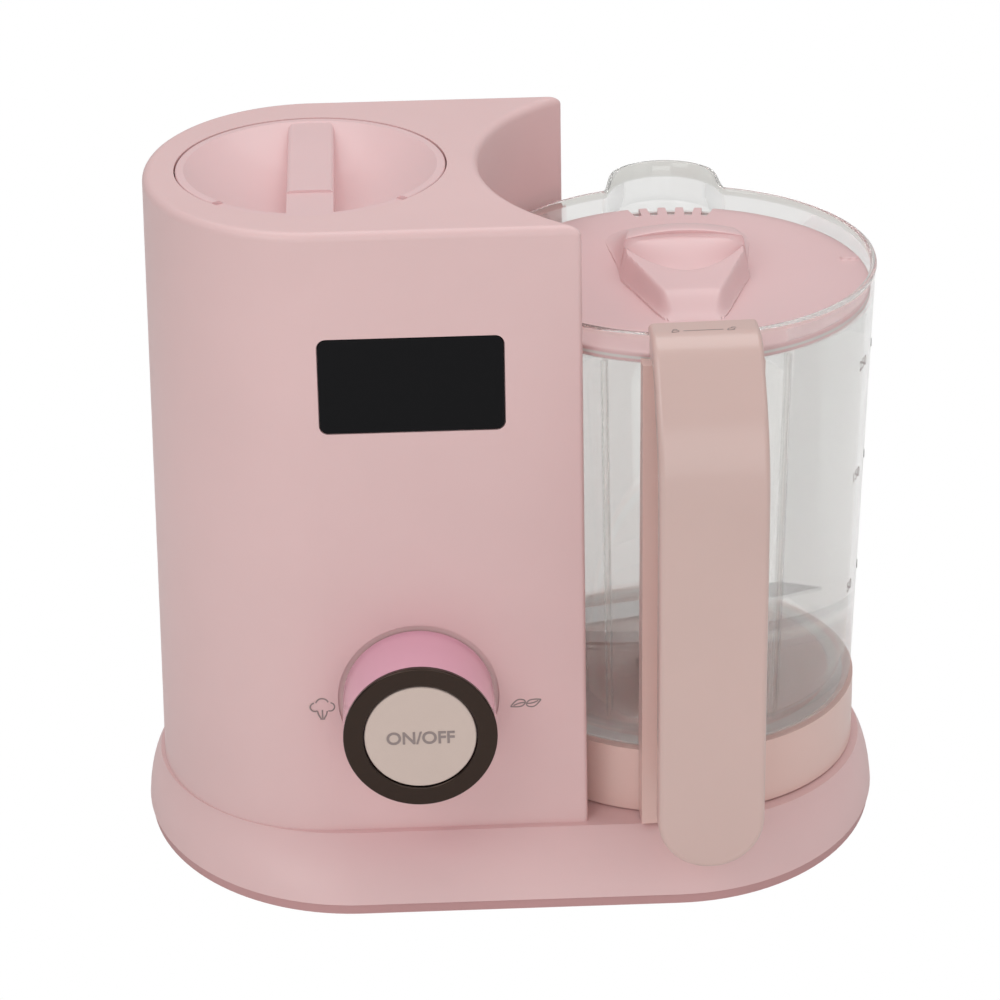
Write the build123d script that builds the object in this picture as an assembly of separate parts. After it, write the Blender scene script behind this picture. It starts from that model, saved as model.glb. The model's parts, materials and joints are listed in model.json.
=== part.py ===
"""Baby food maker: a steam boiler and a belt-driven blender in one housing, with a lift-off jug.

Units are millimetres. +X points to the jug side, +Y to the back, +Z up.
The origin is on the table, under the middle of the base.
"""

import os
from math import asin, atan2, cos, degrees, hypot, pi, radians, sin, sqrt

from build123d import *

# ---------------------------------------------------------------- driving dimensions
WALL = 2.5                      # moulded shell thickness
FOOT_H = 1.5                    # how far the rubber feet hold the base plate off the table
BASE_HALF_X, BASE_HALF_Y = 136.5, 91.0
BASE_END_RX = 79.5              # half-ellipse at each end of the footprint
SEAM_Z = 5.5                    # parting line between base plate and housing
PLINTH_TOP = 24.0               # platform that the jug stands on
# the plinth's outline at three heights: height, half length, half depth, length of the rounded end
PLINTH_STEPS = [(5.5, 136.5, 91.0, 79.5), (14.0, 135.3, 84.5, 76.5), (24.0, 131.6, 71.6, 71.6)]

TOWER_X = -67.0                 # axis of the tower's round end, and of the water tank
TOWER_TOP = 254.0
TOWER_TOP_RX, TOWER_TOP_RY = 59.0, 65.6
TOWER_FOOT_RX, TOWER_FOOT_RY = 63.4, 69.2
TOWER_FOOT_Z = 8.0
TOWER_RIGHT = 40.0              # the recess cuts the tower before this
TOP_ROUND = 3.0
CORNER_ROUND = 1.5

JUG_X = 63.0                    # axis of the jug, blade and drive spindle
RECESS_X = 69.8                 # hollow in the tower beside the jug: its axis
RECESS_FOOT_R, RECESS_TOP_R = 80.1, 77.9
JUG_BOTTOM, JUG_RIM = 50.5, 215.5
JUG_FOOT_R, JUG_RIM_R = 65.0, 70.0
JUG_WALL = 2.4
LEDGE_Z = 203.5                 # step inside the jug that carries the lid
LEDGE_W = 1.2
SPOUT_R, SPOUT_Y = 21.0, 65.5
SPOUT_FULL_Z, SPOUT_RISE = 204.0, 3.2  # full width from here up, and its lip's height over the rim
SPOUT_LOW_R, SPOUT_LOW_Y, SPOUT_LOW_Z = 12.0, 56.0, 190.0
RIB_ANGLES = (-117, -61, 175)
COLLAR_R, COLLAR_WALL = 66.0, 3.0
COLLAR_BOTTOM = PLINTH_TOP + 0.4
HANDLE_TURN = 2.0               # degrees that the handle sits round from the front
HANDLE_W = 37.5
GRIP_FACE_Y, GRIP_BACK_Y, GRIP_HOOK_Y = -107.5, -98.0, -68.7
GRIP_TOP, GRIP_UNDER = 219.6, 208.5
HANDLE_SCREW_XS, HANDLE_SCREW_Y = (JUG_X - 8, JUG_X + 8), -75.0
SPINE_W = 42.0
BLADE_WINGS = ((8, 74.5, 47, -3), (188, 74.5, 47, 3), (98, 70.0, 26, 24), (278, 70.0, 26, -24))
STEAM_PORT_Z, STEAM_PORT_R = 186.0, 4.0

LID_TOP = 207.5
LID_R = 68.2
LID_REST_TURN = -3.0            # degrees that the lid sits short of its lock
LID_GROOVE_R, LID_GROOVE_Z0, LID_GROOVE_Z1 = 66.7, 204.8, 206.0
TANK_LID_R = 47.5
TANK_R, TANK_FLOOR_Z, TANK_MOUTH_Z = 43.0, 158.0, 246.0
TANK_BOWL_DEPTH = 15.0
TANK_BAR_HALF_W = 8.2

DISPLAY_X0, DISPLAY_X1, DISPLAY_Z0, DISPLAY_Z1 = -66.0, -2.3, 180.7, 215.4
KNOB_X, KNOB_Z = -34.6, 77.1
KNOB_R, KNOB_OUT = 27.0, 28.6
KNOB_RING_W = 7.0
KNOB_SEAT_R, KNOB_SEAT_DEPTH = 28.7, 0.9
BUTTON_R = 19.6
PIN_XY = (JUG_X, -52.0)         # interlock pin under the jug's collar
GLAND_XZ, GLAND_R = (-30.0, 34.0), 6.0
VENT_COUNT, VENT_R, VENT_PITCH = 6, 1.5, 7.0
VENT_X0, VENT_Z0, VENT_Z1 = -92.0, 62.0, 96.0

MOTOR_X, MOTOR_Y = -74.0, 14.0
MOTOR_R, MOTOR_Z0, MOTOR_Z1 = 27.0, 40.0, 112.0
BELT_Z, BELT_W, BELT_T = 13.2, 6.0, 1.4
MOTOR_PULLEY_R, DRIVE_PULLEY_R = 9.0, 27.0
BELT_GAP = 0.3
SPINDLE_R = 4.0

SCREW_SPOTS = [(-118.0, -46.0), (-118.0, 46.0), (-20.0, -76.0), (-20.0, 76.0), (108.0, -52.0), (108.0, 52.0)]
FOOT_SPOTS = [(-96.0, -52.0), (-96.0, 52.0), (92.0, -58.0), (92.0, 58.0), (0.0, 0.0)]


# ---------------------------------------------------------------- helpers
def recess_r(z):
    """The recess narrows towards the top by the mould's draft."""
    return RECESS_FOOT_R + (RECESS_TOP_R - RECESS_FOOT_R) * (z - PLINTH_TOP) / (TOWER_TOP - PLINTH_TOP)


PORT_WALL_X = RECESS_X - recess_r(STEAM_PORT_Z)
HOSE_X0 = TOWER_X + TANK_R + 1.0
HOSE_X1 = PORT_WALL_X - WALL - 1.8


def tube(outer, inner, z0, z1, x=0.0, y=0.0):
    """Upright tube, or a plain cylinder when inner is 0."""
    body = Pos(x, y, z0) * extrude(Circle(outer), z1 - z0)
    if inner > 0:
        body -= Pos(x, y, z0) * extrude(Circle(inner), z1 - z0)
    return body


def lathe(points, x=0.0, y=0.0):
    """Solid of revolution about a vertical axis from (radius, z) points."""
    outline = Polyline(*[(r, 0, z) for r, z in points], close=True)
    return Pos(x, y) * revolve(make_face(outline), Axis.Z)


def box(x0, x1, y0, y1, z0, z1):
    return Pos((x0 + x1) / 2, (y0 + y1) / 2, (z0 + z1) / 2) * Box(x1 - x0, y1 - y0, z1 - z0)


def rod_x(r, x0, x1, y, z):
    return Pos((x0 + x1) / 2, y, z) * Rot(0, 90, 0) * Cylinder(r, x1 - x0)


def rod_y(r, y0, y1, x, z):
    return Pos(x, (y0 + y1) / 2, z) * Rot(90, 0, 0) * Cylinder(r, y1 - y0)


def about_jug(shape, angle):
    """Turns a shape about the jug's axis."""
    return Pos(JUG_X, 0) * Rot(0, 0, angle) * Pos(-JUG_X, 0) * shape


def front_y(z):
    """The tower's front face leans back by the mould's draft."""
    share = (z - TOWER_FOOT_Z) / (TOWER_TOP - TOWER_FOOT_Z)
    return -(TOWER_FOOT_RY + (TOWER_TOP_RY - TOWER_FOOT_RY) * share)


FRONT_LEAN = degrees(atan2(TOWER_FOOT_RY - TOWER_TOP_RY, TOWER_TOP - TOWER_FOOT_Z))


def on_front(x, z, shape):
    """Places a shape built on XY with +Z outwards onto the tower's front face."""
    return Pos(x, front_y(z), z) * Rot(90 - FRONT_LEAN, 0, 0) * shape


def rounded_plate(w, h, r, t):
    return extrude(RectangleRounded(w, h, r), t)


# ---------------------------------------------------------------- housing
def base_outline(inset, z=SEAM_Z, half_x=BASE_HALF_X, half_y=BASE_HALF_Y, end_rx=BASE_END_RX):
    """Rectangle with half-ellipse ends."""
    end_x = half_x - end_rx
    ends = Pos(-end_x, 0) * Ellipse(end_rx - inset, half_y - inset)
    ends += Pos(end_x, 0) * Ellipse(end_rx - inset, half_y - inset)
    return Pos(0, 0, z) * (ends + Rectangle(2 * end_x, 2 * (half_y - inset)))


def tower_profile(rx, ry, z):
    end = Pos(TOWER_X, 0) * Ellipse(rx, ry)
    block = Pos((TOWER_X + TOWER_RIGHT) / 2, 0) * Rectangle(TOWER_RIGHT - TOWER_X, 2 * ry)
    return Pos(0, 0, z) * (end + block)


def tower(inset, top):
    foot = tower_profile(TOWER_FOOT_RX - inset, TOWER_FOOT_RY - inset, TOWER_FOOT_Z)
    head = tower_profile(TOWER_TOP_RX - inset, TOWER_TOP_RY - inset, TOWER_TOP)
    body = loft([foot, head]) & box(-200, 200, -200, 200, 0, top)
    low, high = PLINTH_TOP - inset, TOWER_TOP + 10
    recess = loft([Pos(RECESS_X, 0, z) * Circle(recess_r(z) + inset) for z in (low, high)])
    return body - recess


def plinth(inset):
    levels = []
    for z, half_x, half_y, end_rx in PLINTH_STEPS:
        level = min(z, PLINTH_TOP - inset)
        levels.append(base_outline(inset, level, half_x, half_y, end_rx))
    return loft(levels)


def housing_outside():
    body = tower(0, TOWER_TOP)
    corners = body.edges().filter_by(
        lambda e: abs(e.tangent_at(0.5).Z) > 0.98 and e.center().X > 10 and abs(e.center().Y) > 50
    )
    body = fillet(corners, CORNER_ROUND)
    top = body.edges().filter_by_position(Axis.Z, TOWER_TOP - 0.01, TOWER_TOP + 0.01)
    body = fillet(top, TOP_ROUND)
    return body + plinth(0)


def screw_bosses():
    return Part() + [tube(4.5, 1.3, SEAM_Z, PLINTH_TOP - 0.6, x, y) for x, y in SCREW_SPOTS]


def main_housing():
    body = housing_outside()
    body -= tower(WALL, TOWER_TOP - WALL) + plinth(WALL)
    body += screw_bosses() & (plinth(0.5) + tower(0.5, PLINTH_TOP))
    body -= tube(TANK_LID_R + 0.5, 0, TOWER_TOP - 20, TOWER_TOP + 5, TOWER_X)
    body -= tube(SPINDLE_R + 7.2, 0, PLINTH_TOP - 10, PLINTH_TOP + 5, JUG_X)
    body -= tube(3.2, 0, PLINTH_TOP - 10, PLINTH_TOP + 5, *PIN_XY)
    window_w, window_h = DISPLAY_X1 - DISPLAY_X0 + 0.6, DISPLAY_Z1 - DISPLAY_Z0 + 0.6
    mid = ((DISPLAY_X0 + DISPLAY_X1) / 2, (DISPLAY_Z0 + DISPLAY_Z1) / 2)
    body -= on_front(*mid, Pos(0, 0, -1.6) * rounded_plate(window_w, window_h, 3.3, 5))
    body -= on_front(*mid, Pos(0, 0, -8) * rounded_plate(window_w - 6, window_h - 6, 1.5, 10))
    body -= on_front(KNOB_X, KNOB_Z, Pos(0, 0, -8) * extrude(Circle(5.2), 12))
    body -= on_front(KNOB_X, KNOB_Z, Pos(0, 0, -KNOB_SEAT_DEPTH) * extrude(Circle(KNOB_SEAT_R), 5))
    body -= rod_x(STEAM_PORT_R + 2.1, -30, 0, 0, STEAM_PORT_Z)
    body -= rod_y(GLAND_R, 50, 80, *GLAND_XZ)
    for k in range(VENT_COUNT):
        body -= rod_y(VENT_R, 40, 80, VENT_X0 + VENT_PITCH * k, VENT_Z0)
        body -= box(VENT_X0 + VENT_PITCH * k - VENT_R, VENT_X0 + VENT_PITCH * k + VENT_R, 40, 80, VENT_Z0, VENT_Z1)
        body -= rod_y(VENT_R, 40, 80, VENT_X0 + VENT_PITCH * k, VENT_Z1)
    return body


def tank_rim_ring():
    """Collar that drops into the top opening and carries the tank lid."""
    ring = lathe(
        [(TANK_R + 0.3, 238), (TANK_LID_R + 3.5, 238), (TANK_LID_R + 3.5, TOWER_TOP - WALL - 0.1),
         (TANK_LID_R + 0.4, TOWER_TOP - WALL - 0.1), (TANK_LID_R + 0.4, 244), (TANK_R + 0.3, 244)],
        TOWER_X,
    )
    return ring


def base_plate():
    plate = extrude(base_outline(0.8, FOOT_H), SEAM_Z - FOOT_H - 0.1)
    lip = extrude(base_outline(WALL + 2.2, SEAM_Z - 0.2), 1.6) - extrude(base_outline(WALL + 4.0, SEAM_Z - 0.2), 1.6)
    plate = plate + lip
    for x, y in SCREW_SPOTS:
        plate -= tube(1.8, 0, 0, 10, x, y) + tube(3.6, 0, 0, FOOT_H + 1.8, x, y)
        plate -= tube(5.0, 0, SEAM_Z - 0.1, 10, x, y)
    for x, y in FOOT_SPOTS:
        plate -= tube(8.6, 0, 0, FOOT_H + 1.2, x, y)
    for k in range(7):
        plate -= box(MOTOR_X - 24 + 8 * k, MOTOR_X - 20.5 + 8 * k, MOTOR_Y - 18, MOTOR_Y + 18, 0, 10)
    return plate


def rubber_feet():
    return Part() + [tube(8.4, 0, 0, FOOT_H + 1.1, x, y) for x, y in FOOT_SPOTS]


def base_screws():
    screws = []
    for x, y in SCREW_SPOTS:
        shank = tube(1.25, 0, FOOT_H + 1.7, 14, x, y)
        head = tube(3.2, 0, FOOT_H + 0.2, FOOT_H + 1.7, x, y)
        slot = box(x - 2.2, x + 2.2, y - 0.4, y + 0.4, 0, FOOT_H + 0.9)
        slot += box(x - 0.4, x + 0.4, y - 2.2, y + 2.2, 0, FOOT_H + 0.9)
        screws.append(shank + head - slot)
    return Part() + screws


# ---------------------------------------------------------------- boiler and steam path
def water_tank():
    wall = 2.2
    cup = lathe(
        [(0, TANK_FLOOR_Z), (TANK_R, TANK_FLOOR_Z), (TANK_R, 244.2), (TANK_LID_R - 0.2, 244.2),
         (TANK_LID_R - 0.2, TANK_MOUTH_Z), (TANK_R - wall, TANK_MOUTH_Z), (TANK_R - wall, TANK_FLOOR_Z + wall),
         (0, TANK_FLOOR_Z + wall)],
        TOWER_X,
    )
    port_x = TOWER_X + TANK_R
    cup += rod_x(4.0, port_x - 1, port_x + 5.0, 0, STEAM_PORT_Z)
    cup -= rod_x(2.6, port_x - 6, port_x + 6, 0, STEAM_PORT_Z)
    return cup


def heater_plate():
    plate = tube(TANK_R - 1, 0, TANK_FLOOR_Z - 9, TANK_FLOOR_Z - 0.1, TOWER_X)
    groove = tube(33.4, 26.6, 148, 151.4, TOWER_X)
    leads = box(TOWER_X - 9.6, TOWER_X + 9.6, 26, 50, 148, 151.4)
    return plate - groove - leads


def heater_element():
    path_r, rod_r, z = 30.0, 3.0, 148.4
    loop = Pos(TOWER_X, 0, z) * Torus(path_r, rod_r)
    loop -= box(TOWER_X - 6, TOWER_X + 6, 20, 45, 135, 160)
    for side in (-1, 1):
        loop += rod_y(rod_r, sqrt(path_r**2 - 36) - 0.4, 47, TOWER_X + side * 6.0, z)
    return loop


def thermostat():
    can = tube(9, 0, 141, TANK_FLOOR_Z - 9.1, TOWER_X)
    flange = box(TOWER_X - 14, TOWER_X + 14, -4.5, 4.5, 147.5, TANK_FLOOR_Z - 9.1)
    tabs = [box(TOWER_X + s * 5 - 0.4, TOWER_X + s * 5 + 0.4, -3.1, 3.1, 133, 141.2) for s in (-1, 1)]
    return can + flange + tabs


def boiler_bracket():
    """Pressed plate under the heater, on three legs, that carries the tank."""
    rim = tube(TANK_R + 6, TANK_R - 4, 138.6, 140.2, TOWER_X)
    ears = [box(-124.4, -112, -7, 7, 138.6, 140.2), box(-22, -13.6, -7, 7, 138.6, 140.2)]
    ears.append(box(TOWER_X - 7, TOWER_X + 7, 45, 63.8, 138.6, 140.2))
    legs = []
    for a in (45, 180, 300):
        x, y = TOWER_X + (TANK_R + 2.5) * cos(radians(a)), (TANK_R + 2.5) * sin(radians(a))
        legs.append(tube(3.2, 0, 140.0, 157.8, x, y))
    return rim + ears + legs


def steam_hose():
    return rod_x(5.6, HOSE_X0, HOSE_X1, 0, STEAM_PORT_Z) - rod_x(4.05, HOSE_X0 - 1, HOSE_X1 + 1, 0, STEAM_PORT_Z)


def hose_clamps():
    bands = [
        rod_x(6.6, x, x + 1.6, 0, STEAM_PORT_Z) - rod_x(5.65, x - 1, x + 3, 0, STEAM_PORT_Z)
        for x in (HOSE_X0 + 1.0, HOSE_X1 - 2.6)
    ]
    return Part() + bands


def steam_nozzle():
    body = rod_x(4.0, HOSE_X1 - 3.2, HOSE_X1 + 0.5, 0, STEAM_PORT_Z)
    body += rod_x(STEAM_PORT_R + 4.0, HOSE_X1 + 0.2, PORT_WALL_X - WALL - 0.1, 0, STEAM_PORT_Z)
    body += rod_x(STEAM_PORT_R + 2.0, PORT_WALL_X - WALL - 0.2, PORT_WALL_X + 0.6, 0, STEAM_PORT_Z)
    return body - rod_x(2.8, HOSE_X1 - 5, PORT_WALL_X + 3, 0, STEAM_PORT_Z)


def nozzle_seal():
    x0 = PORT_WALL_X + 0.65
    lip = rod_x(6.4, x0, x0 + 1.7, 0, STEAM_PORT_Z) - rod_x(3.2, x0 - 1, x0 + 5, 0, STEAM_PORT_Z)
    return fillet(lip.edges().group_by(Axis.X)[-1], 0.5)


# ---------------------------------------------------------------- tank lid
def tank_lid():
    disc = tube(TANK_LID_R, 0, TANK_MOUTH_Z + 0.1, TOWER_TOP, TOWER_X)
    disc = fillet(disc.edges().group_by(Axis.Z)[-1], 0.8)
    plug = tube(TANK_R - 4.2, 0, TOWER_TOP - TANK_BOWL_DEPTH - 6, 248, TOWER_X)
    body = disc + plug
    ball_r = ((TANK_LID_R - 3) ** 2 + TANK_BOWL_DEPTH**2) / (2 * TANK_BOWL_DEPTH)
    bowl = Pos(TOWER_X, 0, TOWER_TOP - TANK_BOWL_DEPTH + ball_r) * Sphere(ball_r)
    body -= bowl
    bar = box(TOWER_X - TANK_BAR_HALF_W, TOWER_X + TANK_BAR_HALF_W, -44.6, 44.6, 236, TOWER_TOP - 0.4)
    bar = fillet(bar.edges().filter_by(Axis.Y).group_by(Axis.Z)[-1], 1.6)
    room = tube(TANK_LID_R - 1.5, 0, TANK_MOUTH_Z + 1, TOWER_TOP + 5, TOWER_X)
    bar &= room + tube(TANK_R - 4.2, 0, 234, TANK_MOUTH_Z + 2, TOWER_X)
    return body + bar - tube(60, 0, TOWER_TOP - 1.3, TOWER_TOP + 1, TOWER_X, -83)


def tank_lid_seal():
    return lathe(
        [(TANK_R - 4.0, 240.2), (TANK_R - 2.3, 241.0), (TANK_R - 2.3, 243.6), (TANK_R - 4.0, 244.4)], TOWER_X
    )


# ---------------------------------------------------------------- motor, belt and spindle
def motor_can():
    can = tube(MOTOR_R, 0, MOTOR_Z0, MOTOR_Z1, MOTOR_X, MOTOR_Y)
    can = fillet(can.edges(), 2.0)
    can += tube(9, 0, MOTOR_Z1 - 0.5, MOTOR_Z1 + 5, MOTOR_X, MOTOR_Y)
    for k in range(6):
        a = radians(60 * k)
        x, y = MOTOR_X + 18 * cos(a), MOTOR_Y + 18 * sin(a)
        can -= tube(3.2, 0, MOTOR_Z1 - 4, MOTOR_Z1 + 1, x, y)
    return can - tube(3.1, 0, MOTOR_Z0 - 1, MOTOR_Z1 - 12, MOTOR_X, MOTOR_Y)


def motor_mount():
    plate = Pos(MOTOR_X, MOTOR_Y, 36.9) * extrude(RectangleRounded(76, 62, 6), 3.0)
    plate -= tube(8.0, 0, 30, 45, MOTOR_X, MOTOR_Y)
    for sx, sy in ((-1, -1), (-1, 1), (1, -1), (1, 1)):
        x, y = MOTOR_X + sx * 31, MOTOR_Y + sy * 25
        plate += tube(3.4, 0, SEAM_Z + 0.1, 37, x, y)
    for y in (-18, 18):
        plate -= tube(2.1, 0, 30, 45, MOTOR_X, MOTOR_Y + y)
    return plate


def motor_screws():
    screws = []
    for y in (-18, 18):
        screws.append(tube(1.5, 0, 36.8, MOTOR_Z0, MOTOR_X, MOTOR_Y + y) + tube(3.0, 0, 34.8, 36.8, MOTOR_X, MOTOR_Y + y))
    return Part() + screws


def pulley(r, x, y, hub_r, bore):
    z0, z1 = BELT_Z - BELT_W / 2 - 0.5, BELT_Z + BELT_W / 2 + 0.5
    wheel = tube(r, bore, z0, z1, x, y)
    wheel += tube(r + 1.8, bore, z0 - 1.2, z0, x, y) + tube(r + 1.8, bore, z1, z1 + 1.2, x, y)
    if hub_r < r - 8:
        groove = tube(r - 3.5, hub_r, z0 - 2, BELT_Z - 1, x, y) + tube(r - 3.5, hub_r, BELT_Z + 1, z1 + 2, x, y)
        wheel -= groove
    return wheel


def motor_shaft():
    return tube(3.0, 0, 7.6, MOTOR_Z1 - 12.2, MOTOR_X, MOTOR_Y)


def motor_pulley():
    return pulley(MOTOR_PULLEY_R, MOTOR_X, MOTOR_Y, 20, 3.02)


def drive_pulley():
    return pulley(DRIVE_PULLEY_R, JUG_X, 0, 9.0, SPINDLE_R + 0.02)


def drive_belt():
    """Flat loop round both pulleys: two tangents and two arcs."""
    ax, ay = MOTOR_X, MOTOR_Y
    gap = hypot(JUG_X - ax, -ay)
    heading = atan2(-ay, JUG_X - ax)
    lean = pi / 2 + asin((DRIVE_PULLEY_R - MOTOR_PULLEY_R) / gap)

    def outline(extra):
        small, large = MOTOR_PULLEY_R + extra, DRIVE_PULLEY_R + extra
        points = {}
        for side in (1, -1):
            a = heading + side * lean
            points[side] = (
                (ax + small * cos(a), ay + small * sin(a)),
                (JUG_X + large * cos(a), large * sin(a)),
            )
        far_small = (ax - small * cos(heading), ay - small * sin(heading))
        far_large = (JUG_X + large * cos(heading), large * sin(heading))
        loop = Line(points[1][0], points[1][1])
        loop += ThreePointArc(points[1][1], far_large, points[-1][1])
        loop += Line(points[-1][1], points[-1][0])
        loop += ThreePointArc(points[-1][0], far_small, points[1][0])
        return make_face(loop)

    band = extrude(outline(BELT_GAP + BELT_T) - outline(BELT_GAP), BELT_W)
    return Pos(0, 0, BELT_Z - BELT_W / 2) * band


def drive_spindle():
    return tube(SPINDLE_R, 0, 7.2, 34.0, JUG_X) + tube(5.4, 0, 7.2, 8.2, JUG_X)


def bearing_block():
    """Bush carrier in the platform, round the spindle."""
    ring = tube(11.0, 6.8, 18.9, 27.0, JUG_X)
    flange = tube(13.6, 6.8, PLINTH_TOP + 0.1, 26.4, JUG_X)
    return ring + flange


def spindle_bushes():
    return Part() + [tube(6.75, SPINDLE_R + 0.05, z, z + 3.4, JUG_X) for z in (19.0, 23.4)]


def drive_dog():
    hub = tube(9.0, SPINDLE_R + 0.02, 27.4, 33.8, JUG_X)
    teeth = []
    for k in range(6):
        tooth = about_jug(box(JUG_X + 5.8, JUG_X + 8.6, -1.1, 1.1, 33.6, 37.2), 60 * k)
        teeth.append(tooth)
    return hub + teeth


def jug_dog():
    hub = tube(12.2, 0, 38.8, 42.6, JUG_X) + tube(12.2, 10.2, 31.6, 39.0, JUG_X)
    fins = []
    for k in range(6):
        fins.append(about_jug(box(JUG_X + 6.0, JUG_X + 10.4, -0.9, 0.9, 34.4, 39.0), 60 * k + 30))
    return hub + fins - tube(3.02, 0, 30, 50, JUG_X)


# ---------------------------------------------------------------- electronics
def display_lens():
    w, h = DISPLAY_X1 - DISPLAY_X0, DISPLAY_Z1 - DISPLAY_Z0
    mid = ((DISPLAY_X0 + DISPLAY_X1) / 2, (DISPLAY_Z0 + DISPLAY_Z1) / 2)
    plate = rounded_plate(w, h, 3.0, 1.5)
    plate = fillet(plate.edges().group_by(Axis.Z)[-1], 0.35)
    return on_front(*mid, Pos(0, 0, -1.5) * plate)


def lcd_module():
    mid = ((DISPLAY_X0 + DISPLAY_X1) / 2, (DISPLAY_Z0 + DISPLAY_Z1) / 2)
    return on_front(*mid, Pos(0, 0, -6.2) * rounded_plate(54, 26, 1.0, 4.4))


def control_board():
    x = (DISPLAY_X0 + DISPLAY_X1) / 2
    board = on_front(x, 150, Pos(0, 0, -9.4) * rounded_plate(58, 132, 2.0, 1.6))
    parts = [on_front(x + dx, z, Pos(0, 0, -12.2) * rounded_plate(w, h, 0.4, 2.9))
             for dx, z, w, h in ((-12, 150, 12, 12), (12, 140, 10, 8), (-16, 120, 8, 14), (14, 165, 14, 6))]
    return board + parts


def board_screws():
    x = (DISPLAY_X0 + DISPLAY_X1) / 2
    spots = [(x - 25, 90), (x + 25, 90), (x - 25, 172), (x + 25, 172)]
    return Part() + [
        on_front(sx, sz, Pos(0, 0, -11.0) * extrude(Circle(2.6), 1.5)) for sx, sz in spots
    ]


def power_board():
    board = box(-40, -22.8, 20, 56, 44, 45.6)
    parts = [box(-38, -26, 24, 38, 45.5, 60), tube(5, 0, 45.5, 62, -31, 48)]
    parts += [tube(2.0, 0, SEAM_Z, 44.1, -31, y) for y in (31, 52)]
    return board + parts


def encoder():
    body = on_front(KNOB_X, KNOB_Z, Pos(0, 0, -7.6) * rounded_plate(13, 13, 0.6, 4.6))
    bush = on_front(KNOB_X, KNOB_Z, Pos(0, 0, -3.1) * extrude(Circle(4.9), 4.1))
    return body + bush - on_front(KNOB_X, KNOB_Z, Pos(0, 0, -6.0) * extrude(Circle(3.05), 12))


def cord_gland():
    x, z = GLAND_XZ
    y = -front_y(z)
    gland = rod_y(GLAND_R - 0.1, y - WALL - 2.0, y + 0.6, x, z)
    gland += rod_y(GLAND_R + 1.6, y - WALL - 3.0, y - WALL - 0.4, x, z)
    gland += rod_y(GLAND_R + 1.8, y + 0.5, y + 2.2, x, z)
    return gland - rod_y(3.6, y - 12, y + 5, x, z)


# ---------------------------------------------------------------- knob and button
def knob_body():
    cup = extrude(Circle(KNOB_R), KNOB_OUT - 1.6) - Pos(0, 0, -0.1) * extrude(Circle(KNOB_R - 2.2), 14)
    cup = cup - Pos(0, 0, 16) * extrude(Circle(KNOB_R - KNOB_RING_W + 0.1), 30)
    stem = Pos(0, 0, -5.5) * extrude(Circle(3.0), 20.5) + Pos(0, 0, 1.6) * extrude(Circle(6.2), 13)
    cup += Pos(0, 0, 13.9) * extrude(Circle(KNOB_R - 2.0), 2.1)
    return on_front(KNOB_X, KNOB_Z, Pos(0, 0, 0.8) * cup + stem)


def knob_ring():
    ring = extrude(Circle(KNOB_R) - Circle(KNOB_R - KNOB_RING_W), 1.7)
    ring = fillet(ring.edges().group_by(Axis.Z)[-1], 0.6)
    return on_front(KNOB_X, KNOB_Z, Pos(0, 0, KNOB_OUT - 0.7) * ring)


def on_off_button():
    cap = extrude(Circle(BUTTON_R), 5.4)
    cap = fillet(cap.edges().group_by(Axis.Z)[-1], 0.7)
    skirt = Pos(0, 0, -4.5) * extrude(Circle(BUTTON_R - 1.5) - Circle(BUTTON_R - 3.2), 4.6)
    return on_front(KNOB_X, KNOB_Z, Pos(0, 0, KNOB_OUT - 4.6) * (cap + skirt))


def button_spring():
    wire, radius, pitch, turns = 0.7, 8.0, 1.8, 3
    low = 16.9
    rings = [Pos(0, 0, low + wire + pitch * k) * Torus(radius, wire) for k in range(turns)]
    links = []
    for k in range(turns - 1):
        z = low + wire + pitch * k
        links.append(Pos(radius * cos(k * pi), 0, z) * extrude(Circle(wire * 0.9), pitch))
    return on_front(KNOB_X, KNOB_Z, Part() + rings + links)


# ---------------------------------------------------------------- interlock
def interlock_pin():
    pin = tube(2.9, 0, 17.0, 27.4, *PIN_XY)
    pin = fillet(pin.edges().group_by(Axis.Z)[-1], 1.2)
    return pin + tube(4.4, 0, 16.6, 18.2, *PIN_XY)


def interlock_switch():
    x, y = PIN_XY
    return box(x - 10, x + 10, y - 3.2, y + 3.2, SEAM_Z, 12.6) + box(x - 1.2, x + 1.2, y - 1.2, y + 1.2, 12.5, 13.2)


# ---------------------------------------------------------------- jug
def jug_outer_r(z):
    return JUG_FOOT_R + (JUG_RIM_R - JUG_FOOT_R) * (z - JUG_BOTTOM) / (JUG_RIM - JUG_BOTTOM)


def spout(inset):
    low = Pos(JUG_X, SPOUT_LOW_Y, SPOUT_LOW_Z + inset) * Circle(SPOUT_LOW_R - inset)
    full = Pos(JUG_X, SPOUT_Y, SPOUT_FULL_Z) * Circle(SPOUT_R - inset)
    lip = tube(SPOUT_R - inset, 0, SPOUT_FULL_Z, JUG_RIM + SPOUT_RISE + inset, JUG_X, SPOUT_Y)
    return loft([low, full]) + lip


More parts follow.
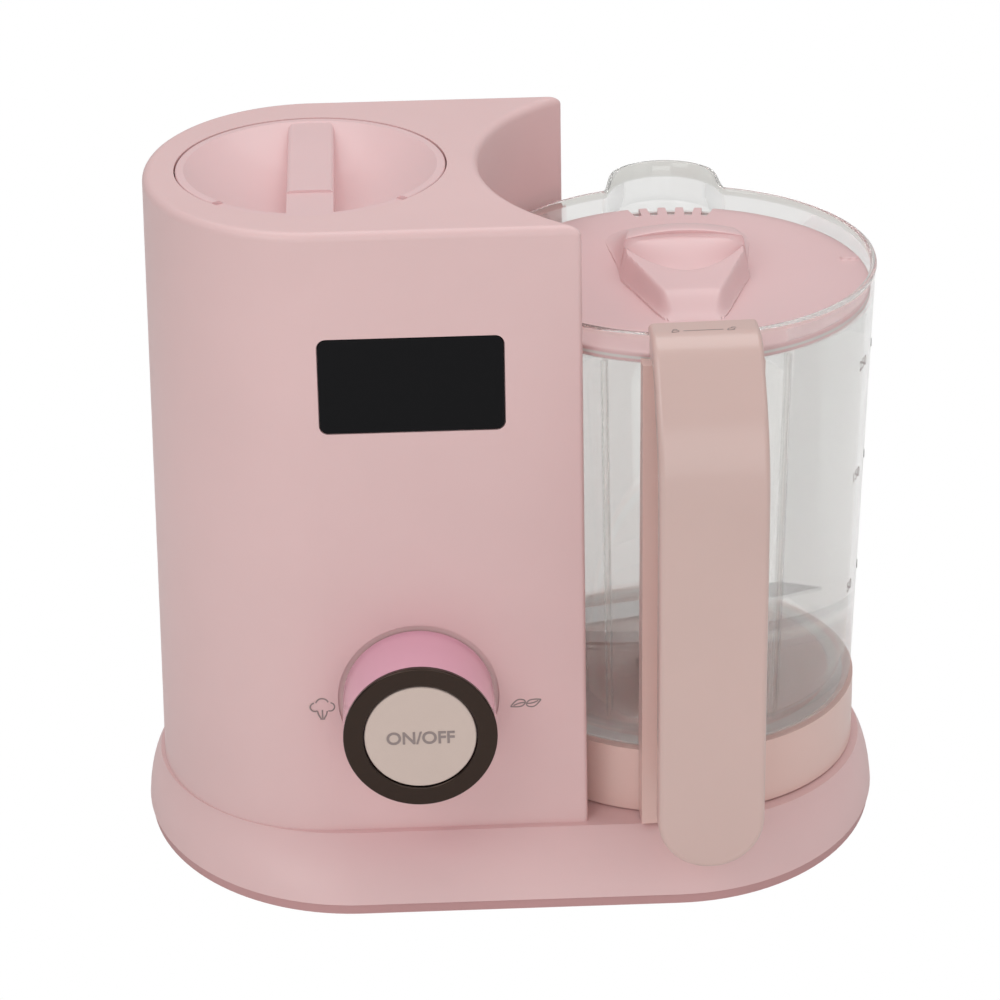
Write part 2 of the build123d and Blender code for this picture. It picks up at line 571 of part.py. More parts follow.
def jug_vessel():
    inner_foot = JUG_FOOT_R - JUG_WALL
    ledge_r = jug_outer_r(LEDGE_Z) - JUG_WALL
    shoulder = JUG_RIM_R - JUG_WALL + LEDGE_W
    floor_top = JUG_BOTTOM + 3.0
    outside = lathe(
        [(0, JUG_BOTTOM), (JUG_FOOT_R - 1.5, JUG_BOTTOM), (JUG_FOOT_R, JUG_BOTTOM + 1.5),
         (JUG_RIM_R, JUG_RIM), (0, JUG_RIM)], JUG_X)
    inside = lathe(
        [(0, JUG_BOTTOM + 12), (10, JUG_BOTTOM + 12), (22, floor_top + 3), (inner_foot - 5, floor_top),
         (inner_foot, floor_top + 5), (ledge_r, LEDGE_Z), (ledge_r + LEDGE_W, LEDGE_Z),
         (shoulder, JUG_RIM + 0.1), (0, JUG_RIM + 0.1)], JUG_X)
    body = (outside + spout(0)) - inside - spout(2.0)
    body -= tube(shoulder, 0, JUG_RIM - 0.1, JUG_RIM + SPOUT_RISE + 1, JUG_X)
    body -= tube(6.6, 0, JUG_BOTTOM - 1, JUG_BOTTOM + 20, JUG_X)
    body -= lathe([(0, JUG_BOTTOM - 0.1), (20, JUG_BOTTOM - 0.1), (9.5, JUG_BOTTOM + 8), (0, JUG_BOTTOM + 8)], JUG_X)
    for angle in RIB_ANGLES:
        r0, r1 = inner_foot + 0.6, ledge_r + 0.6
        rib = loft([
            Pos(r0, 0, floor_top + 8) * Rot(0, 0, 45) * Rectangle(2.6, 2.6),
            Pos(r1, 0, LEDGE_Z - 10) * Rot(0, 0, 45) * Rectangle(2.6, 2.6),
        ])
        body += Pos(JUG_X, 0) * Rot(0, 0, angle) * rib
    body -= rod_x(STEAM_PORT_R, JUG_X - 75, JUG_X - 60, 0, STEAM_PORT_Z)
    return body


def jug_collar():
    ring = tube(COLLAR_R, COLLAR_R - COLLAR_WALL, COLLAR_BOTTOM, JUG_BOTTOM - 0.6, JUG_X)
    ring = chamfer(ring.edges().group_by(Axis.Z)[0], 0.5)
    web = tube(COLLAR_R - 1, 8.0, JUG_BOTTOM - 3.4, JUG_BOTTOM - 0.6, JUG_X)
    hub = tube(17.0, 14.0, 30.0, JUG_BOTTOM - 3.0, JUG_X)
    ribs = [about_jug(box(JUG_X + 16, JUG_X + COLLAR_R - 2, -1, 1, 40, JUG_BOTTOM - 3), 60 * k + 30) for k in range(6)]
    stop = tube(3.6, 0, 27.5, JUG_BOTTOM - 3, *PIN_XY)
    return ring + web + hub + ribs + stop


def collar_gasket():
    return tube(COLLAR_R - 4, COLLAR_R - 9, JUG_BOTTOM - 0.55, JUG_BOTTOM - 0.05, JUG_X)


def blade_bush():
    body = tube(6.5, 3.06, JUG_BOTTOM - 3.5, JUG_BOTTOM + 13.0, JUG_X)
    return body + tube(9.6, 3.06, JUG_BOTTOM + 12.1, JUG_BOTTOM + 14.5, JUG_X)


def blade_nut():
    hexagon = Pos(JUG_X, 0, 44.2) * extrude(RegularPolygon(10.0, 6), 2.7)
    return hexagon - tube(6.55, 0, 40, 50, JUG_X)


def shaft_seal():
    return tube(5.2, 3.06, JUG_BOTTOM + 14.6, JUG_BOTTOM + 16.0, JUG_X)


def blade_shaft():
    return tube(3.0, 0, 38.9, 76.5, JUG_X)


def blade_hub():
    hub = tube(7.5, 3.02, 67.5, 79.0, JUG_X) + tube(7.5, 0, 76.6, 79.0, JUG_X)
    return fillet(hub.edges().group_by(Axis.Z)[-1], 2.0)


def blade_arm(reach, root_w, tip_w, droop):
    """One wing: a thin plate that tapers to its tip and is bent at the root by droop degrees."""
    plate = Polyline(
        (0, -root_w / 2), (reach * 0.55, -root_w / 2), (reach, tip_w - root_w / 2), (reach * 0.7, root_w / 2),
        (0, root_w / 2), close=True,
    )
    wing = extrude(make_face(plate), 1.4)
    return Pos(8.1, 0, 0) * Rot(0, droop, 0) * wing


def blades():
    body = Part()
    for angle, z, reach, droop in BLADE_WINGS:
        wing = Rot(0, 0, angle) * Pos(0, 0, z) * blade_arm(reach, 12.0, 3.0, droop)
        body += Pos(JUG_X, 0) * wing + tube(8.6, 7.52, z, z + 1.4, JUG_X)
    return body


# ---------------------------------------------------------------- jug handle
def handle_frame(shape):
    """Handle parts are drawn square to the front, then turned with the jug."""
    return about_jug(shape, HANDLE_TURN)


def handle_grip():
    outline = Polyline(
        (GRIP_HOOK_Y, GRIP_TOP), (-83, GRIP_TOP), (GRIP_FACE_Y, 186), (GRIP_FACE_Y, 26), (GRIP_BACK_Y, 26),
        (GRIP_BACK_Y, 180), (-82, GRIP_UNDER), (-72.8, GRIP_UNDER), (-72.8, JUG_RIM + 1), (GRIP_HOOK_Y, JUG_RIM + 1),
        close=True,
    )
    side = make_face(outline)
    for y, z, r in ((GRIP_FACE_Y, 186, 60), (-83, GRIP_TOP, 14), (GRIP_BACK_Y, 180, 46), (-82, GRIP_UNDER, 5)):
        corner = side.vertices().sort_by_distance((y, z, 0))[0]
        side = fillet(corner, r)
    slab = extrude(Plane.YZ * side, HANDLE_W / 2, both=True)
    tongue = Pos(0, 140) * Rectangle(HANDLE_W, 190) + Pos(0, 45) * Circle(HANDLE_W / 2)
    slab &= Pos(0, -60, 0) * extrude(Plane.XZ * tongue, 60)
    rims = slab.edges().filter_by(lambda e: abs(abs(e.center().X) - HANDLE_W / 2) < 0.5 and e.center().Y < -84)
    slab = fillet(rims, 2.0)
    for x in HANDLE_SCREW_XS:
        slab -= tube(1.42, 0, 200, GRIP_UNDER + 6, x - JUG_X, HANDLE_SCREW_Y)
    return handle_frame(Pos(JUG_X, 0) * slab)


def handle_spine():
    """Rail that clamps the grip to the jug wall and runs down to the collar."""
    def wedge(z0, z1, y_front):
        return box(JUG_X - SPINE_W / 2, JUG_X + SPINE_W / 2, y_front, -50, z0, z1)

    rail = wedge(25.4, 206.0, -73.4)
    rail += box(JUG_X - 14, JUG_X + 14, -78, -60, 192, GRIP_UNDER)
    rail -= loft([Pos(JUG_X, 0, 20) * Circle(66.4), Pos(JUG_X, 0, JUG_BOTTOM) * Circle(66.4)])
    taper = (JUG_RIM_R - JUG_FOOT_R) / (JUG_RIM - JUG_BOTTOM)
    top_r = jug_outer_r(220) + 0.15
    rail -= loft([Pos(JUG_X, 0, JUG_BOTTOM - 0.01) * Circle(66.4), Pos(JUG_X, 0, 52.5) * Circle(66.4)])
    rail -= loft([Pos(JUG_X, 0, 52.4) * Circle(jug_outer_r(52.4) + 0.15), Pos(JUG_X, 0, 220) * Circle(top_r)])
    for x in HANDLE_SCREW_XS:
        rail -= tube(1.5, 0, 180, 220, x, HANDLE_SCREW_Y) + tube(3.0, 0, 187, 192, x, HANDLE_SCREW_Y)
    return handle_frame(rail)


def handle_screws():
    """Two screws up through the rail's head into the grip."""
    screws = []
    for x in HANDLE_SCREW_XS:
        screws.append(tube(1.4, 0, 190.2, GRIP_UNDER + 5, x, HANDLE_SCREW_Y) + tube(2.8, 0, 190.0, 192.0, x, HANDLE_SCREW_Y))
    return handle_frame(Part() + screws)


# ---------------------------------------------------------------- jug lid
def lid_turned(shape):
    return about_jug(shape, LID_REST_TURN)


def jug_lid():
    flange = tube(LID_R, 0, LEDGE_Z + 0.1, LID_TOP, JUG_X)
    flange = fillet(flange.edges().group_by(Axis.Z)[-1], 1.0)
    body = flange - tube(LID_R + 1, LID_GROOVE_R, LID_GROOVE_Z0, LID_GROOVE_Z1, JUG_X)
    hump = loft([
        Pos(JUG_X, 4, LID_TOP - 1) * Ellipse(23, 42),
        Pos(JUG_X, 10, LID_TOP + 8) * Ellipse(22, 28),
        Pos(JUG_X, 13, LID_TOP + 13) * Ellipse(19, 18),
    ])
    body += hump - Pos(JUG_X, -26, LID_TOP + 17) * Sphere(30)
    for k in range(5):
        slot_x = JUG_X - 14 + 7 * k
        body -= box(slot_x - 1.8, slot_x + 1.8, 55, 59, LEDGE_Z - 10, LID_TOP + 5)
    return lid_turned(body)


def jug_lid_seal():
    """Ring in the groove round the lid's edge."""
    return tube(LID_R + 0.1, LID_GROOVE_R + 0.05, LID_GROOVE_Z0 + 0.1, LID_GROOVE_Z1 - 0.1, JUG_X)


# ---------------------------------------------------------------- every node
NODES = {
    "main_housing": main_housing,
    "base_plate": base_plate,
    "rubber_feet": rubber_feet,
    "base_screws": base_screws,
    "tank_rim_ring": tank_rim_ring,
    "water_tank": water_tank,
    "heater_plate": heater_plate,
    "heater_element": heater_element,
    "thermostat": thermostat,
    "boiler_bracket": boiler_bracket,
    "steam_hose": steam_hose,
    "hose_clamps": hose_clamps,
    "steam_nozzle": steam_nozzle,
    "nozzle_seal": nozzle_seal,
    "tank_lid": tank_lid,
    "tank_lid_seal": tank_lid_seal,
    "motor_can": motor_can,
    "motor_mount": motor_mount,
    "motor_screws": motor_screws,
    "motor_shaft": motor_shaft,
    "motor_pulley": motor_pulley,
    "drive_belt": drive_belt,
    "drive_pulley": drive_pulley,
    "drive_spindle": drive_spindle,
    "bearing_block": bearing_block,
    "spindle_bushes": spindle_bushes,
    "drive_dog": drive_dog,
    "display_lens": display_lens,
    "lcd_module": lcd_module,
    "control_board": control_board,
    "board_screws": board_screws,
    "power_board": power_board,
    "encoder": encoder,
    "cord_gland": cord_gland,
    "knob_body": knob_body,
    "knob_ring": knob_ring,
    "on_off_button": on_off_button,
    "button_spring": button_spring,
    "interlock_pin": interlock_pin,
    "interlock_switch": interlock_switch,
    "jug_vessel": jug_vessel,
    "jug_collar": jug_collar,
    "collar_gasket": collar_gasket,
    "blade_bush": blade_bush,
    "blade_nut": blade_nut,
    "shaft_seal": shaft_seal,
    "blade_shaft": blade_shaft,
    "blade_hub": blade_hub,
    "blades": blades,
    "jug_dog": jug_dog,
    "handle_grip": handle_grip,
    "handle_spine": handle_spine,
    "handle_screws": handle_screws,
    "jug_lid": jug_lid,
    "jug_lid_seal": jug_lid_seal,
}

os.makedirs("parts", exist_ok=True)
for name, build in NODES.items():
    export_step(build(), f"parts/{name}.step")
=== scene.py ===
"""Looks for the baby food maker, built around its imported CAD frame. Metres, same frame as the CAD."""

import json
import math

import bpy
from mathutils import Matrix, Vector


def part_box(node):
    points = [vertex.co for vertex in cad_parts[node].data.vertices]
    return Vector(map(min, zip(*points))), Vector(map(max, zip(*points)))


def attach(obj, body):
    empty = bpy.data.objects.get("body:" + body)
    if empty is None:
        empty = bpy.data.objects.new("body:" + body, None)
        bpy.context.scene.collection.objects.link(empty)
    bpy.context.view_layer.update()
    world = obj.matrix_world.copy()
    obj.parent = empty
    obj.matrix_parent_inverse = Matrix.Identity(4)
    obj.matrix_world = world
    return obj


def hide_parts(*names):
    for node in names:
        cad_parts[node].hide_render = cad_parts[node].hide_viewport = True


MM = 0.001
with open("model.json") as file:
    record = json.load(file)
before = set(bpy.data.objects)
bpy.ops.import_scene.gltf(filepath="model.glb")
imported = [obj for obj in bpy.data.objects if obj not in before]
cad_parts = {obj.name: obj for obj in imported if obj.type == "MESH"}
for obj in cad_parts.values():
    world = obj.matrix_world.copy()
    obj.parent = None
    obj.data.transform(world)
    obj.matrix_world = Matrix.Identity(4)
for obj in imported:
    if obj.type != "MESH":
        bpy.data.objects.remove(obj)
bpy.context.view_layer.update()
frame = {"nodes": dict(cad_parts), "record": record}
nodes = frame["nodes"]

# ---------------------------------------------------------------- where things are, from the CAD
vessel_low, vessel_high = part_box("jug_vessel")
collar_low, collar_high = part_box("jug_collar")
ring_low, ring_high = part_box("knob_ring")
grip_low, grip_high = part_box("handle_grip")
JUG_X = (collar_low.x + collar_high.x) / 2
SPOUT_RISE = 3.2 * MM
JUG_BOTTOM, JUG_RIM = vessel_low.z, vessel_high.z - SPOUT_RISE
JUG_FOOT_R, JUG_RIM_R = 65.0 * MM, 70.0 * MM
JUG_WALL = 2.4 * MM
LEDGE_Z = 203.5 * MM
LID_R, LID_TOP = 68.2 * MM, 207.5 * MM
# the tower's front face: how far out it stands at its foot, and how it leans back over its height, in mm
FRONT_OUT, FRONT_BACK, FRONT_FOOT_Z, FRONT_TALL = 69.2, 3.6, 8.0, 246.0
FRONT_LEAN = math.atan2(FRONT_BACK, FRONT_TALL)
KNOB = Vector(((ring_low.x + ring_high.x) / 2, 0, (ring_low.z + ring_high.z) / 2))


def smooth(t):
    t = min(max(t, 0.0), 1.0)
    return t * t * (3 - 2 * t)


def front_y(z):
    """The tower's front face leans back by the mould's draft."""
    return -(FRONT_OUT - FRONT_BACK * (z / MM - FRONT_FOOT_Z) / FRONT_TALL) * MM


def front_matrix(x, z, out=0.0):
    """A frame on the tower's front face: X right, Y up the face, Z outwards."""
    turn = Matrix.Rotation(math.pi / 2 - FRONT_LEAN, 4, "X")
    return Matrix.Translation((x, front_y(z), z)) @ turn @ Matrix.Translation((0, 0, out))


# ---------------------------------------------------------------- materials
def new_material(name):
    mat = bpy.data.materials.new(name)
    mat.use_nodes = True
    tree = mat.node_tree
    return mat, tree, tree.nodes["Principled BSDF"]


def noise(tree, scale, detail=3.0, rough=0.5, stretch=None):
    coord = tree.nodes.new("ShaderNodeTexCoord")
    tex = tree.nodes.new("ShaderNodeTexNoise")
    tex.inputs["Scale"].default_value = scale
    tex.inputs["Detail"].default_value = detail
    tex.inputs["Roughness"].default_value = rough
    if stretch:
        mapping = tree.nodes.new("ShaderNodeMapping")
        mapping.inputs["Scale"].default_value = stretch
        tree.links.new(coord.outputs["Object"], mapping.inputs["Vector"])
        tree.links.new(mapping.outputs["Vector"], tex.inputs["Vector"])
    else:
        tree.links.new(coord.outputs["Object"], tex.inputs["Vector"])
    return tex.outputs["Fac"]


def ramp(tree, source, stops):
    node = tree.nodes.new("ShaderNodeValToRGB")
    for element, (pos, color) in zip(node.color_ramp.elements, (stops[0], stops[-1])):
        element.position, element.color = pos, color
    for pos, color in stops[1:-1]:
        node.color_ramp.elements.new(pos).color = color
    tree.links.new(source, node.inputs["Fac"])
    return node.outputs["Color"]


def spread(tree, source, low, high):
    node = tree.nodes.new("ShaderNodeMapRange")
    node.inputs["To Min"].default_value = low
    node.inputs["To Max"].default_value = high
    tree.links.new(source, node.inputs["Value"])
    return node.outputs["Result"]


def bump(tree, shader, source, strength, distance, after=None):
    node = tree.nodes.new("ShaderNodeBump")
    node.inputs["Strength"].default_value = strength
    node.inputs["Distance"].default_value = distance
    tree.links.new(source, node.inputs["Height"])
    if after is not None:
        tree.links.new(after, node.inputs["Normal"])
    tree.links.new(node.outputs["Normal"], shader.inputs["Normal"])
    return node.outputs["Normal"]


def shade(color, by):
    return tuple(min(c * by, 1.0) for c in color) + (1.0,)


def uneven_color(tree, shader, source, color, vary):
    """Base colour that drifts between a slightly darker and a slightly lighter shade."""
    stops = [(0.3, shade(color, 1 - vary)), (0.7, shade(color, 1 + vary))]
    tree.links.new(ramp(tree, source, stops), shader.inputs["Base Color"])


def plastic(name, color, rough=0.45, grain=1800.0, grain_depth=0.04, vary=0.03, coat=0.0, sub=0.0):
    """Moulded plastic: fine tool texture, faint flow marks, slightly uneven gloss."""
    mat, tree, shader = new_material(name)
    flow = noise(tree, 9.0, 4.0, 0.55)
    uneven_color(tree, shader, flow, color, vary)
    gloss = spread(tree, noise(tree, 60.0, 3.0), rough - 0.04, rough + 0.05)
    tree.links.new(gloss, shader.inputs["Roughness"])
    soft = bump(tree, shader, noise(tree, 38.0, 2.0), 0.05, 0.0004)
    bump(tree, shader, noise(tree, grain, 2.0), grain_depth, 0.00008, after=soft)
    shader.inputs["Coat Weight"].default_value = coat
    shader.inputs["Coat Roughness"].default_value = 0.12
    shader.inputs["Subsurface Weight"].default_value = sub
    shader.inputs["Subsurface Radius"].default_value = (0.004, 0.0015, 0.0012)
    return mat


def metal(name, color, rough=0.25, stretch=(1, 1, 40), scale=60.0, vary=0.08, depth=0.1):
    """Brushed or turned metal: streaks along one direction in colour, gloss and relief."""
    mat, tree, shader = new_material(name)
    streak = noise(tree, scale, 6.0, 0.6, stretch)
    uneven_color(tree, shader, streak, color, vary)
    tree.links.new(spread(tree, streak, rough - 0.08, rough + 0.1), shader.inputs["Roughness"])
    bump(tree, shader, streak, depth, 0.00005)
    shader.inputs["Metallic"].default_value = 1.0
    return mat


def clear_plastic(name, tint, rough=0.03, cover=1.0, rim_z=10.0):
    """Clear moulding: slightly uneven gloss, faint ripples; cover below 1 lets the light inside.

    Above rim_z it is fully covering, so the thick rim keeps its dark edge.
    """
    mat, tree, shader = new_material(name)
    shader.inputs["Base Color"].default_value = (*tint, 1.0)
    shader.inputs["Transmission Weight"].default_value = 1.0
    shader.inputs["IOR"].default_value = 1.47
    split = tree.nodes.new("ShaderNodeSeparateXYZ")
    tree.links.new(tree.nodes.new("ShaderNodeTexCoord").outputs["Object"], split.inputs["Vector"])
    edge = tree.nodes.new("ShaderNodeMapRange")
    edge.inputs["From Min"].default_value = rim_z - 0.0006
    edge.inputs["From Max"].default_value = rim_z
    edge.inputs["To Min"].default_value = cover
    tree.links.new(split.outputs["Z"], edge.inputs["Value"])
    tree.links.new(edge.outputs["Result"], shader.inputs["Alpha"])
    gloss = spread(tree, noise(tree, 45.0, 3.0), rough * 0.5, rough * 1.6)
    tree.links.new(gloss, shader.inputs["Roughness"])
    bump(tree, shader, noise(tree, 22.0, 2.0), 0.035, 0.0006)
    return mat


PINK = (0.79, 0.545, 0.54)
BEIGE_PINK = (0.665, 0.475, 0.435)
body_pink = plastic("body_pink", PINK, 0.42, coat=0.05, sub=0.04)
lid_pink = plastic("lid_pink", (0.80, 0.55, 0.555), 0.38, coat=0.1, sub=0.05)
base_rose = plastic("base_rose", (0.60, 0.34, 0.34), 0.45)
handle_beige = plastic("handle_beige", BEIGE_PINK, 0.30, coat=0.25, grain_depth=0.02, sub=0.04)
# a lighter copy of the handle's beige: painted light, lifting the shade that falls on the spine and collar
# between the tower and the jug
spine_beige_painted_light = plastic("handle_beige_satin_painted_light", (0.80, 0.56, 0.51), 0.34, coat=0.2, grain_depth=0.02, sub=0.04)
knob_pink = plastic("knob_magenta", (0.84, 0.44, 0.57), 0.16, coat=0.5, grain_depth=0.0)
cap_beige = plastic("cap_beige", (0.66, 0.53, 0.47), 0.4, grain=2600.0, grain_depth=0.08)
inner_white = plastic("inner_white", (0.78, 0.76, 0.73), 0.5)
feet_rubber = plastic("feet_rubber", (0.16, 0.14, 0.14), 0.8, grain=900.0, grain_depth=0.3)
belt_rubber = plastic("belt_rubber", (0.03, 0.03, 0.03), 0.7, grain=900.0, grain_depth=0.3)
silicone = plastic("silicone", (0.80, 0.77, 0.75), 0.55, sub=0.1)
black_plastic = plastic("black_plastic", (0.025, 0.025, 0.028), 0.45, vary=0.2)
board_green = plastic("board_green", (0.03, 0.13, 0.05), 0.4, vary=0.2)
motor_case = metal("motor_case", (0.5, 0.5, 0.52), 0.45)
screw_steel = metal("screw_steel", (0.6, 0.6, 0.61), 0.32)
blade_steel = metal("blade_steel", (0.86, 0.86, 0.87), 0.2, stretch=(30, 1, 30), vary=0.05)
shaft_steel = metal("shaft_steel", (0.72, 0.72, 0.73), 0.22)
bronze_bush = metal("bronze_bush", (0.70, 0.48, 0.24), 0.4)
heater_alu = metal("heater_alu", (0.8, 0.8, 0.81), 0.4)
ring_bronze = metal("ring_bronze", (0.036, 0.019, 0.012), 0.14, vary=0.05, depth=0.01)
ring_bronze.node_tree.nodes["Principled BSDF"].inputs["Coat Weight"].default_value = 0.5
print_grey = plastic("print_grey", (0.30, 0.24, 0.23), 0.6)
print_dark = plastic("print_dark", (0.06, 0.06, 0.065), 0.6)
jug_clear = clear_plastic("jug_clear", (0.95, 0.94, 0.91), cover=0.36, rim_z=JUG_RIM - 2.2 * MM)
display_black = plastic("display_black", (0.005, 0.005, 0.006), 0.16, grain_depth=0.0, vary=0.1)
display_black.node_tree.nodes["Principled BSDF"].inputs["Specular IOR Level"].default_value = 0.12

SLOT_MATERIALS = {
    "body_pink": body_pink, "base_rose": base_rose, "handle_beige": handle_beige,
    "feet_rubber": feet_rubber, "screw_steel": screw_steel, "blade_steel": blade_steel,
    "shaft_steel": shaft_steel, "inner_white": inner_white, "heater_alu": heater_alu,
    "silicone": silicone, "motor_case": motor_case, "black_plastic": black_plastic,
    "bronze_bush": bronze_bush, "belt_rubber": belt_rubber, "display_black": display_black,
    "board_green": board_green, "knob_magenta": knob_pink, "ring_bronze": ring_bronze,
    "cap_beige": cap_beige, "jug_clear": jug_clear,
}
SMOOTH_ANGLE = math.radians(32)


def dress(obj, mat):
    obj.data.materials.clear()
    obj.data.materials.append(mat)


def smooth_by_angle(obj, angle=SMOOTH_ANGLE):
    """Smooth shading with the sharp edges kept."""
    mesh = obj.data
    mesh.polygons.foreach_set("use_smooth", [True] * len(mesh.polygons))
    mesh.set_sharp_from_angle(angle=angle)


for entry in frame["record"]["subparts"]:
    part = nodes[entry["node"]]
    dress(part, SLOT_MATERIALS[entry["material_slot"]])
dress(nodes["tank_lid"], lid_pink)
# the spine and collar take the lighter beige, painted light against the shade they sit in
dress(nodes["handle_spine"], spine_beige_painted_light)
dress(nodes["jug_collar"], spine_beige_painted_light)


# ---------------------------------------------------------------- mesh helpers
def make_object(name, verts, faces, mat, smooth_angle=SMOOTH_ANGLE):
    mesh = bpy.data.meshes.new(name)
    mesh.from_pydata([tuple(v) for v in verts], [], faces)
    mesh.validate()
    mesh.update()
    obj = bpy.data.objects.new(name, mesh)
    bpy.context.scene.collection.objects.link(obj)
    dress(obj, mat)
    smooth_by_angle(obj, smooth_angle)
    return obj


def grid_faces(rows, cols, close_cols=True, close_rows=False):
    faces = []
    for i in range(rows if close_rows else rows - 1):
        for j in range(cols if close_cols else cols - 1):
            a, b = i * cols + j, i * cols + (j + 1) % cols
            c, d = ((i + 1) % rows) * cols + (j + 1) % cols, ((i + 1) % rows) * cols + j
            faces.append((a, b, c, d))
    return faces


# ---------------------------------------------------------------- clear jug
SPOUT_AT = math.radians(90.0)
SPOUT_CENTRE, SPOUT_HALF = 65.5 * MM, 21.6 * MM
SPOUT_LOW, SPOUT_FULL = 190.0 * MM, 204.0 * MM
SPOUT_SPAN, SPOUT_BLEND = math.radians(30), 4.5 * MM
JUG_STEPS = 384


def soft_max(a, b, k):
    """The larger of a and b, rounded over a distance k where they cross."""
    h = min(max(0.5 + 0.5 * (a - b) / k, 0.0), 1.0)
    return b + (a - b) * h + k * h * (1 - h)


def spout_reach(angle, r):
    """Radius of the wall at this angle where the spout is fully formed."""
    off = (angle - SPOUT_AT + math.pi) % (2 * math.pi) - math.pi
    side = SPOUT_CENTRE * math.sin(off)
    if abs(off) > SPOUT_SPAN or abs(side) >= SPOUT_HALF:
        bulge = 0.0
    else:
        bulge = SPOUT_CENTRE * math.cos(off) + math.sqrt(SPOUT_HALF**2 - side**2)
    return soft_max(bulge, r, SPOUT_BLEND)


def wall_r(z):
    return JUG_FOOT_R + (JUG_RIM_R - JUG_FOOT_R) * (z - JUG_BOTTOM) / (JUG_RIM - JUG_BOTTOM)


def jug_profile():
    """(radius, height) points in metres, starting and ending at the hub in the middle of the floor."""
    rim = JUG_RIM
    # underside and the rounded edge of the foot
    points = [(0.0068, JUG_BOTTOM + 0.009), (0.0095, JUG_BOTTOM + 0.008), (0.020, JUG_BOTTOM + 0.0006),
              (0.040, JUG_BOTTOM), (JUG_FOOT_R - 0.0022, JUG_BOTTOM),
              (JUG_FOOT_R - 0.0006, JUG_BOTTOM + 0.0005),
              (JUG_FOOT_R, JUG_BOTTOM + 0.0018), (JUG_FOOT_R + 0.0001, JUG_BOTTOM + 0.004)]
    # up the outside, over the rim and down to the ledge the lid stands on
    for k in range(1, 25):
        z = JUG_BOTTOM + 0.004 + (rim - 0.0062 - JUG_BOTTOM) * k / 24
        points.append((wall_r(z), z))
    points += [(JUG_RIM_R + 0.0003, rim - 0.0012), (JUG_RIM_R + 0.0001, rim - 0.0004),
               (JUG_RIM_R - 0.0006, rim), (JUG_RIM_R - 0.0013, rim - 0.0001),
               (JUG_RIM_R - 0.0018, rim - 0.0006)]
    above_ledge = (rim - 0.003, rim - 0.006, LEDGE_Z + 0.0035, LEDGE_Z + 0.0005)
    points += [(wall_r(z) - 0.0019, z) for z in above_ledge]
    points += [(wall_r(LEDGE_Z) - 0.0016, LEDGE_Z),
               (wall_r(LEDGE_Z) - JUG_WALL + 0.0002, LEDGE_Z - 0.0001)]
    # down the inside, across the floor and up to the hub
    floor_top = JUG_BOTTOM + 0.003
    for k in range(20):
        z = LEDGE_Z - 0.0008 - (LEDGE_Z - 0.0008 - floor_top - 0.008) * k / 19
        points.append((wall_r(z) - JUG_WALL, z))
    inner = JUG_FOOT_R - JUG_WALL
    points += [(inner - 0.0006, floor_top + 0.005), (inner - 0.0024, floor_top + 0.0022),
               (inner - 0.0055, floor_top + 0.0006), (inner - 0.010, floor_top), (0.036, floor_top + 0.0006),
               (0.026, floor_top + 0.0022), (0.019, floor_top + 0.0058), (0.014, JUG_BOTTOM + 0.0106),
               (0.010, JUG_BOTTOM + 0.0122), (0.0068, JUG_BOTTOM + 0.0124)]
    return points


def build_jug():
    """The clear wall, turned from the profile, with the spout pushed out of its upper part."""
    verts = []
    profile = jug_profile()
    for r, z in profile:
        formed = smooth((z - SPOUT_LOW) / (SPOUT_FULL - SPOUT_LOW)) if r > 0.055 else 0.0
        base = wall_r(z)
        for j in range(JUG_STEPS):
            a = 2 * math.pi * j / JUG_STEPS
            push, lift = 0.0, 0.0
            if formed > 0:
                push = (spout_reach(a, base) - base) * formed
                crest = smooth(push / (10 * MM)) if push > 0 else 0.0
                top = smooth((z - (JUG_RIM - 0.009)) / 0.009)
                lift = SPOUT_RISE * crest * top
                push += 1.0 * MM * crest * smooth((z - (JUG_RIM - 0.004)) / 0.004)
            verts.append((JUG_X + (r + push) * math.cos(a), (r + push) * math.sin(a), z + lift))
    faces = grid_faces(len(profile), JUG_STEPS, close_rows=True)
    return make_object("jug_clear_wall", verts, faces, jug_clear, math.radians(50))


jug = build_jug()
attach(jug, "jug")
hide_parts("jug_vessel")


def build_rib(angle):
    """Half-round rib down the inside of the jug wall, fading out at its foot."""
    rings, around = 60, 10
    z0, z1 = JUG_BOTTOM + 0.006, LEDGE_Z - 0.0012
    verts = []
    for i in range(rings):
        t = i / (rings - 1)
        z = z0 + (z1 - z0) * t
        taper = smooth(t * 16)
        r_in = wall_r(z) - JUG_WALL + 0.0003
        for k in range(around):
            b = math.pi * k / (around - 1)
            out = -math.sin(b) * 0.0015 * taper
            side = math.cos(b) * 0.0013 * max(taper, 0.2)
            ca, sa = math.cos(angle), math.sin(angle)
            verts.append((JUG_X + (r_in + out) * ca - side * sa, (r_in + out) * sa + side * ca, z))
    faces = grid_faces(rings, around)
    faces.append(tuple(reversed(range(around))))
    faces.append(tuple((rings - 1) * around + k for k in range(around)))
    return make_object("jug_rib", verts, faces, jug_clear, math.radians(60))


RIB_ANGLES = (-117, -61, 175)
for k, degrees_round in enumerate(RIB_ANGLES, 1):
    rib = build_rib(math.radians(degrees_round))
    rib.name = f"jug_rib_{k}"
    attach(rib, "jug")

# ---------------------------------------------------------------- jug lid
NOTCH_R, NOTCH_AT = 60.0 * MM, math.radians(88.0)
NOTCH_PITCH, NOTCH_SPAN = 7.0, 17.0     # along the rim, in mm
LUG_V, LUG_HIGH = 12 * MM, 0.9 * MM     # small catch at the right of the lid
DISH_DEPTH = 1.6 * MM

